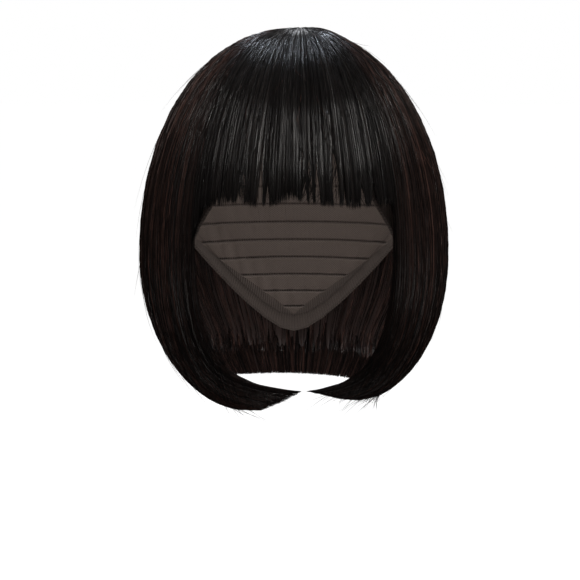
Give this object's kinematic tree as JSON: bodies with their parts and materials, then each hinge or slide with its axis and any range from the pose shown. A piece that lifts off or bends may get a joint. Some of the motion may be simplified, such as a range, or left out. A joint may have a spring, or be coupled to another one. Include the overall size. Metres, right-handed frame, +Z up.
{
  "type": "bob wig",
  "caption": "Chin-length bob wig with a blunt fringe, its ends curling in under the chin, on a thin stretch cap that is open for the head, the face and the neck.",
  "frame": {"origin": "the point inside the cap that sits on the crown of the head", "axes": "+Z up, the face looks along -Y, +X is the wearer's left"},
  "size_m": [0.1848, 0.2154, 0.222],
  "materials": {
    "hair": "straight, smooth synthetic hair, near black with a soft sheen",
    "cap": "matt black stretch net with a ribbed elastic band"
  },
  "bodies": {
    "root": {"cap": "cap", "crown_swirl": "hair", "fringe": "hair", "front_lock_left": "hair", "front_lock_right": "hair", "side_hair_left": "hair", "side_hair_right": "hair", "back_hair_left": "hair", "back_hair_right": "hair", "under_hair_left": "hair", "under_hair_right": "hair", "under_hair_nape": "hair"}
  },
  "joints": []
}
